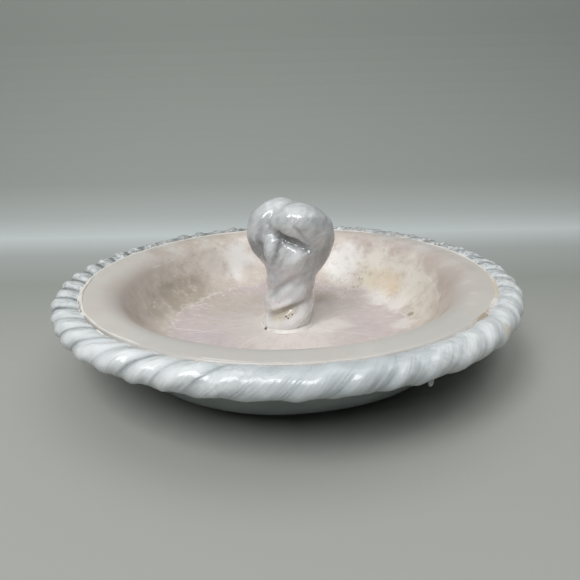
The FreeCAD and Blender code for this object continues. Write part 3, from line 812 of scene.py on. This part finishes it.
def finished_mesh(bm, name, modifiers):
    """Applies modifiers, each a name, a type and its settings, to a bmesh. Gives the new bmesh."""
    mesh = bpy.data.meshes.new(name)
    bm.to_mesh(mesh)
    bm.free()
    work = bpy.data.objects.new(name, mesh)
    bpy.context.scene.collection.objects.link(work)
    for label, kind, settings in modifiers:
        modifier = work.modifiers.new(label, kind)
        for setting, value in settings.items():
            setattr(modifier, setting, value)
    made = bmesh.new()
    changed = work.evaluated_get(bpy.context.evaluated_depsgraph_get())
    made.from_mesh(bpy.data.meshes.new_from_object(changed))
    bpy.data.objects.remove(work)
    return made


def one_skin(bm, voxel, rounds):
    """One smooth skin round all the overlapping lumps of a bmesh."""
    return finished_mesh(bm, "lumps", (("one skin", "REMESH", {"mode": "VOXEL", "voxel_size": voxel}),
                                       ("wet fingers", "SMOOTH", {"factor": 0.5, "iterations": rounds})))


print("a run through three places has", len(smooth_run(((0, 0, 0), (1, 0, 1), (0, 0, 2)), 7)), "points")

# %% Sizes of the stem and places of the coils
STEM_PITCH = 15.5           # mm of height for one full turn
STEM_FRONT_HEIGHT = 22.5    # height in mm at which the front strand faces the front
STEM_RADIUS = 7.45          # mm
STEM_TOP = 22.0             # mm, inside the knot
STEM_STEPS = 60             # sections along the stem
STEM_LEAN = 0.075           # mm to the right for each mm up
STEM_TAPER = 0.006          # share of its radius that the stem loses for each mm above its waist
STEM_WAIST = 12.0           # mm
FOOT_SHIFT = 0.55           # mm that the foot was pushed to the left
FOOT_HEIGHT = 5.0           # mm of height over which that push fades
STEM_OFFSET = 0.95          # mm from the post's axis to the middle of a strand
FRONT, BACK = math.radians(-90), math.radians(90)
FRONT_COILS = (  # places (right, back, up, radius) in mm from the post's axis
    ((1.0, -1.6, 17.5, 4.8), (1.6, -2.6, 22.0, 5.0), (2.6, -3.5, 25.8, 5.0), (4.2, -3.0, 27.8, 4.7)),
    ((-1.2, -1.6, 18.0, 4.6), (-2.4, -2.8, 23.5, 4.2), (-3.4, -3.7, 27.2, 4.1), (-3.2, -3.5, 29.6, 3.7)),
    ((1.6, -3.2, 35.6, 5.2), (4.4, -2.6, 35.0, 5.8), (7.3, -0.8, 32.4, 5.9), (7.4, 0.6, 28.2, 5.8),
     (5.6, 0.8, 24.4, 5.4), (3.4, 0.6, 21.4, 4.8)),
    ((-1.6, -2.9, 28.6, 4.0), (1.0, -3.2, 29.4, 4.1), (3.6, -3.2, 29.2, 4.1)),
)
BACK_COILS = (
    ((0.4, 2.0, 19.0, 4.8), (1.0, 3.2, 27.0, 4.9), (1.4, 3.0, 33.4, 5.0)),
    ((1.4, 2.6, 35.2, 5.4), (-1.0, 2.2, 36.0, 5.7), (-3.6, 1.6, 35.8, 5.8), (-5.5, 1.1, 34.0, 5.8),
     (-5.8, 0.7, 30.6, 5.7), (-3.9, 0.4, 27.2, 5.2), (-2.0, 0.2, 23.6, 4.6)),
    ((1.6, -0.4, 35.5, 5.3), (-0.8, -0.7, 35.5, 5.2), (-2.6, -0.8, 34.6, 5.0)),
)
print("coils in front", len(FRONT_COILS), "and behind", len(BACK_COILS))

# %% Twist the stem and roll the coils
def post_strand(facing, coils):
    """One strand: half of the stem, cut flat and twisted right-handed, with its coils on it."""
    length = STEM_TOP * MM - stem_foot
    bar = half_round_bar((STEM_RADIUS - STEM_OFFSET) * MM, STEM_OFFSET * MM, length, STEM_STEPS)
    for vert in bar.verts:
        height = stem_foot + vert.co.x
        turn = facing + 2 * math.pi * (height / MM - STEM_FRONT_HEIGHT) / STEM_PITCH
        out = Vector((math.cos(turn), math.sin(turn), 0))
        side = Vector((-math.sin(turn), math.cos(turn), 0))
        low = max(0.0, 1.0 - (height - stem_foot) / (FOOT_HEIGHT * MM))
        lean = STEM_LEAN * (height - 2 * stem_foot) - FOOT_SHIFT * MM * low * low
        slim = 1.0 - STEM_TAPER * max(0.0, height / MM - STEM_WAIST)
        vert.co = Vector((post_x + lean, 0, height)) + (out * vert.co.z + side * vert.co.y) * slim
    bmesh.ops.recalc_face_normals(bar, faces=bar.faces)
    for places in coils:
        rolled_coil(bar, places)
    return bar


print("the stem turns", round((STEM_TOP - stem_foot / MM) / STEM_PITCH, 2), "times")

# %% Put one skin round both strands
VOXEL = 0.33 * MM           # side of the cubes that the skin is built from
SKIN_ROUNDS, CUTTER_ROUNDS = 22, 4     # how often the skin, and the lumps that part it, are smoothed
both = post_strand(FRONT, FRONT_COILS)
back_lumps = bpy.data.meshes.new("back_lumps")
back_strand = post_strand(BACK, BACK_COILS)
back_strand.to_mesh(back_lumps)
both.from_mesh(back_lumps)
post_skin = one_skin(both, VOXEL, SKIN_ROUNDS)
back_half = one_skin(back_strand, 2 * VOXEL, CUTTER_ROUNDS)
print("post skin faces", len(post_skin.faces))

# %% [markdown]
# ## Creases of the knot
# The folds of the knot meet in creases that a potter pressed in with a tool. Each crease is a smooth
# line of a few places on the skin. Points near the line are pushed in, most at the line itself, and
# each point keeps how far it was pushed, for painted shade to darken the glaze there.

# %% Places of the creases
CREASES = (  # width in mm, then places (right, back, up, depth) in mm from the post's axis
    # under the right fold
    (1.3, ((-3.2, -4.4, 34.0, 0.5), (-1.9, -5.7, 32.6, 1.1), (-0.4, -5.8, 31.3, 1.3), (1.6, -5.8, 30.4, 1.3),
           (3.8, -6.4, 29.5, 1.1), (5.7, -6.7, 28.5, 0.7), (7.6, -6.2, 27.7, 0.1))),
    # along the right fold's lip
    (0.6, ((1.2, -8.3, 36.0, 0.1), (2.7, -8.3, 34.8, 0.45), (4.1, -7.7, 33.1, 0.45), (5.6, -7.1, 31.0, 0.1))),
    # between the crown and the right fold
    (0.8, ((-0.4, -5.2, 40.2, 0.05), (-2.1, -4.9, 39.1, 0.3), (-3.8, -3.9, 37.4, 0.5),
           (-4.7, -4.2, 35.8, 0.6), (-4.2, -4.4, 34.6, 0.6))),
    # between the crown's left end and the left ridge
    (0.9, ((-6.9, -3.8, 34.9, 0.3), (-7.5, -4.0, 33.0, 0.5), (-7.7, -4.1, 30.7, 0.6), (-7.1, -4.6, 28.5, 0.6),
           (-6.3, -5.6, 26.4, 0.5), (-5.3, -6.4, 24.3, 0.1))),
    # between the two front ridges
    (1.0, ((-1.6, -5.5, 31.0, 0.7), (-2.4, -6.6, 29.2, 0.8), (-3.0, -7.1, 27.2, 0.7),
           (-3.8, -7.0, 25.4, 0.45), (-4.7, -6.6, 23.0, 0.05))),
    # right of the right ridge
    (1.2, ((6.0, -6.4, 28.2, 0.1), (5.6, -6.6, 26.6, 0.35), (4.8, -6.8, 24.6, 0.35),
           (3.6, -6.9, 22.4, 0.05))),
    # the stem's grooves
    (1.0, ((-5.9, -3.2, 7.8, 0.4), (-2.8, -5.8, 9.9, 0.8), (-0.2, -6.6, 11.3, 0.8), (2.5, -6.3, 12.6, 0.6),
           (4.8, -4.8, 13.6, 0.3), (6.3, -2.4, 14.4, 0.1))),
    (1.1, ((-6.3, -3.2, 14.0, 0.2), (-5.4, -4.5, 14.9, 0.4), (-3.2, -6.0, 17.0, 0.5),
           (-0.9, -6.6, 18.7, 0.45), (1.7, -7.2, 20.4, 0.3), (4.0, -6.6, 21.8, 0.05))),
    (0.8, ((-6.4, -3.0, 11.1, 0.1), (-4.6, -5.4, 12.0, 0.3), (-2.8, -6.6, 12.9, 0.35),
           (-0.4, -7.1, 14.4, 0.3), (2.0, -7.0, 16.0, 0.1))),
    (1.0, ((2.6, -6.8, 5.2, 0.05), (4.6, -5.6, 6.4, 0.35), (6.2, -3.6, 7.8, 0.35), (7.0, -1.2, 9.2, 0.1))),
)
print("creases", len(CREASES))

# %% Press the creases
GLAZE_COAT = 0.3            # mm that the glaze adds all over
FULL_HOLLOW = 0.8           # mm, a crease this deep gets the darkest painted shade
along_wrinkles = Matrix.Diagonal((0.25, 1.0, 1.0)) @ Matrix.Rotation(-WRINKLE_SLOPE, 3, "Y")


def press_creases(skin):
    """Pushes the skin in along the creases and stores how far each point went."""
    skin.normal_update()
    tree = BVHTree.FromBMesh(skin)
    marks = []
    for width, places in CREASES:
        for spot in smooth_run(places, 8):
            marks.append((tree.find_nearest(from_post(spot))[0], spot[3] * MM, width * MM))
    nearest_mark = KDTree(len(marks))
    for number, mark in enumerate(marks):
        nearest_mark.insert(mark[0], number)
    nearest_mark.balance()
    hollow = skin.verts.layers.float.new("hollow")
    for vert in skin.verts:
        number, away = nearest_mark.find(vert.co)[1:]
        depth, width = marks[number][1:]
        press = depth * math.exp(-(away / width) ** 2)
        wrinkles = unevenness(along_wrinkles @ vert.co, 1.7 * MM, 0.12 * MM)
        lumps = unevenness(vert.co, 5 * MM, 0.2 * MM) + wrinkles
        vert[hollow] = min(1.0, press / (FULL_HOLLOW * MM))
        vert.co += vert.normal * (GLAZE_COAT * MM + lumps - press)


press_creases(post_skin)
print("post top in mm", round(max(vert.co.z for vert in post_skin.verts) / MM, 2))

# %% [markdown]
# ## Part the two strands
# The front and the back strand are two pieces of clay pressed together, so the skin is parted where
# they meet. A boolean with the back strand's lumps keeps what lies in them for the back piece, and
# what lies outside for the front piece. Both are closed bodies that share the pressed face.

# %% Keep one side of the skin
PART_WELD = 0.004           # mm, points of the parted edge that lie closer than this become one


def drop_crumbs(bm):
    """Deletes the crumbs that parting leaves, which is all but the largest body. Gives their number."""
    left = set(bm.verts)
    bodies = []
    while left:
        body = [left.pop()]
        for vert in body:
            for edge in vert.link_edges:
                neighbour = edge.other_vert(vert)
                if neighbour in left:
                    left.discard(neighbour)
                    body.append(neighbour)
        bodies.append(body)
    bodies.sort(key=len)
    for crumb in bodies[:-1]:
        bmesh.ops.delete(bm, geom=crumb, context="VERTS")
    return len(bodies) - 1


def part_skin(skin, cutter, name, operation):
    """The piece of the skin inside or outside a cutter, with the hollows' numbers put back on it."""
    hollows = skin.verts.layers.float["hollow"]
    seen = KDTree(len(skin.verts))
    depths = []
    for number, vert in enumerate(skin.verts):
        seen.insert(vert.co, number)
        depths.append(vert[hollows])
    seen.balance()
    parted = finished_mesh(skin.copy(), name, (("part", "BOOLEAN", {"operation": operation, "object": cutter,
                                                                     "solver": "EXACT"}),))
    bmesh.ops.remove_doubles(parted, verts=parted.verts, dist=PART_WELD * MM)
    print(name, "crumbs removed", drop_crumbs(parted))
    # a point in the middle of each many-sided face lets it be cut into triangles that share no other edge
    many_sided = [face for face in parted.faces if len(face.verts) > 4]
    bmesh.ops.poke(parted, faces=many_sided, center_mode="MEAN_WEIGHTED")
    bmesh.ops.recalc_face_normals(parted, faces=parted.faces)
    layer = parted.verts.layers.float.get("hollow") or parted.verts.layers.float.new("hollow")
    for vert in parted.verts:
        vert[layer] = depths[seen.find(vert.co)[1]]
    return parted


print("points of a parted edge are joined within", PART_WELD, "mm")

# %% Part the skin
PART_PLAY = 0.5             # mm that the back strand's lumps swell before they part the skin
back_half.normal_update()
for vert in back_half.verts:
    vert.co += vert.normal * PART_PLAY * MM
cutter_mesh = bpy.data.meshes.new("cutter")
back_half.to_mesh(cutter_mesh)
cutter = bpy.data.objects.new("cutter", cutter_mesh)
bpy.context.scene.collection.objects.link(cutter)
front_part = part_skin(post_skin, cutter, "front_part", "DIFFERENCE")
back_part = part_skin(post_skin, cutter, "back_part", "INTERSECT")
bpy.data.objects.remove(cutter)
to_piece(front_part, "post_front_coil", [grey_glaze], "post_front_strand")
to_piece(back_part, "post_back_coil", [grey_glaze], "post_back_strand")

# %% [markdown]
# ## Slip round the post's foot
# A low collar of slip holds the post. Its outline is a hollow slope, spun round the post and pulled
# in and out so that it looks squeezed and wiped.

# %% Spin the collar
# Radius, height and rounding in mm
COLLAR_CORNERS = ((0.0, 3.9, 0.0), (8.3, 3.92, 0.1), (8.0, 4.2, 0.2), (7.6, 4.8, 0.3), (5.5, 4.7, 0.0),
                  (0.0, 4.7, 0.0))
COLLAR_CREST = 7.6          # mm, beyond this radius the collar is pulled in and out
COLLAR_WAVER = 0.4          # mm, the most that it is pulled out
COLLAR_SHIFT = 0.4          # mm to the left, with the post's foot

bm = bmesh.new()
rounded_outline(bm, COLLAR_CORNERS)
spin_round(bm)
for vert in bm.verts:
    outward = Vector((vert.co.x, vert.co.y, 0)).normalized()
    spread = 0.3 + unevenness(outward * 10 * MM, 6 * MM, 1.1) + unevenness(outward * 10 * MM, 2 * MM, 0.4)
    reach = (vert.co.xy.length - COLLAR_CREST * MM) * spread
    if reach > 0:
        vert.co += outward * min(reach, COLLAR_WAVER * MM)
    vert.co.x += post_x - COLLAR_SHIFT * MM
to_piece(bm, "post_slip_collar", [slip_finish], "post_slip")

# %% [markdown]
# ## Floor, light and camera
# The dish stands on a pale sweep, as in a small photo studio, with a band of painted light where it
# starts to curve up. Two soft boxes in front and above are the main light, the left one stronger. A wide
# one overhead fills, and the world lifts the shadows.
# The camera stands where the picture was taken from: close, a hand's breadth from the rim, looking
# down by about twenty degrees.

# %% Paper for the sweep
paper, tree, shader, in_mm = start_finish("matt_grey_paper", Roughness=0.9)
back = add(tree, "SeparateXYZ", {"Vector": in_mm}).outputs["Y"]
# a pale band of painted light where the sweep starts to curve up
share = add(tree, "MapRange", {"Value": back, "From Min": -100.0, "From Max": 300.0})
tone = add(tree, "ValToRGB", {"Fac": share})
set_stops(tone.color_ramp, ((0.2, "a9aba6"), (0.38, "9fa39e"), (0.5, "b3b9b7"), (0.61, "dae2e2"),
                            (0.7, "bcc3c1"), (0.8, "a7aba7"), (1.0, "a3a7a2")))
connect(tree, shader, {"Base Color": tone})
print("finish", paper.name)

# %% Sweep
SWEEP_SIDE, SWEEP_FRONT, SWEEP_BACK, SWEEP_TOP, SWEEP_CURVE = 1.2, -0.9, 0.28, 0.7, 0.14     # metres

bm = bmesh.new()
outline = ((SWEEP_FRONT, 0), (SWEEP_BACK, 0), (SWEEP_BACK, SWEEP_TOP))
points = [bm.verts.new((-SWEEP_SIDE, away, up)) for away, up in outline]
for pair in zip(points, points[1:]):
    bm.edges.new(pair)
bmesh.ops.bevel(bm, geom=[points[1]], offset=SWEEP_CURVE, offset_type="OFFSET", affect="VERTICES",
                segments=24, profile=0.5, material=-1)
drawn = bmesh.ops.extrude_edge_only(bm, edges=bm.edges[:])["geom"]
drag(bm, drawn, (2 * SWEEP_SIDE, 0, 0))
bmesh.ops.recalc_face_normals(bm, faces=bm.faces)
mesh = bpy.data.meshes.new("sweep")
bm.to_mesh(mesh)
bm.free()
mesh.materials.append(paper)
sweep = bpy.data.objects.new("sweep", mesh)
bpy.context.scene.collection.objects.link(sweep)
print("sweep faces", len(mesh.polygons))

# %% Lights
def soft_box(name, place, aim, size, watts):
    """A rectangular area light that faces a point."""
    light = bpy.data.lights.new(name, "AREA")
    light.shape = "RECTANGLE"
    light.size, light.size_y = size
    light.energy = watts
    lamp = bpy.data.objects.new(name, light)
    lamp.location = place
    lamp.rotation_euler = (Vector(aim) - Vector(place)).to_track_quat("-Z", "Y").to_euler()
    bpy.context.scene.collection.objects.link(lamp)


KEY_SIDE = Vector((-0.20, -0.55, 0.81))      # towards the two soft boxes, read from where the shadow falls
KEY_DISTANCE = 0.6                           # metres
soft_box("key left", KEY_SIDE * KEY_DISTANCE + Vector((-0.11, 0.02, 0.02)), (0, 0, 0.02), (0.2, 0.34), 1.8)
soft_box("key right", KEY_SIDE * KEY_DISTANCE + Vector((0.11, -0.04, -0.02)), (0, 0, 0.02), (0.09, 0.24), 0.8)
soft_box("ceiling", (0.10, 0.05, 0.90), (0, 0, 0), (0.9, 0.9), 3.4)
world = bpy.data.worlds.new("studio")
world.use_nodes = True
world.node_tree.nodes["Background"].inputs["Color"].default_value = paint("dfe4e4")
world.node_tree.nodes["Background"].inputs["Strength"].default_value = 0.05
bpy.context.scene.world = world
bpy.context.scene.view_settings.view_transform = "Standard"
print("lights", [light.name for light in bpy.data.lights])

# %% Camera
CAMERA_PLACE = (2.1, -123.7, 59.3)        # mm
CAMERA_PITCH, CAMERA_YAW, CAMERA_ROLL = 0.3469, 0.0103, -0.021     # radians
SENSOR = 36.0                             # mm
FOCAL_SHARE = 436 / 580                   # focal length over the picture's width

camera_data = bpy.data.cameras.new("camera")
camera_data.sensor_width = SENSOR
camera_data.lens = SENSOR * FOCAL_SHARE
camera_data.clip_start = 0.005
camera = bpy.data.objects.new("camera", camera_data)
camera.matrix_world = (Matrix.Translation(Vector(CAMERA_PLACE) * MM)
                       @ Matrix.Rotation(CAMERA_YAW, 4, "Z")
                       @ Matrix.Rotation(math.pi / 2 - CAMERA_PITCH, 4, "X")
                       @ Matrix.Rotation(CAMERA_ROLL, 4, "Z"))
bpy.context.scene.collection.objects.link(camera)
bpy.context.scene.camera = camera
print("camera looks down by", round(math.degrees(CAMERA_PITCH), 1), "degrees")
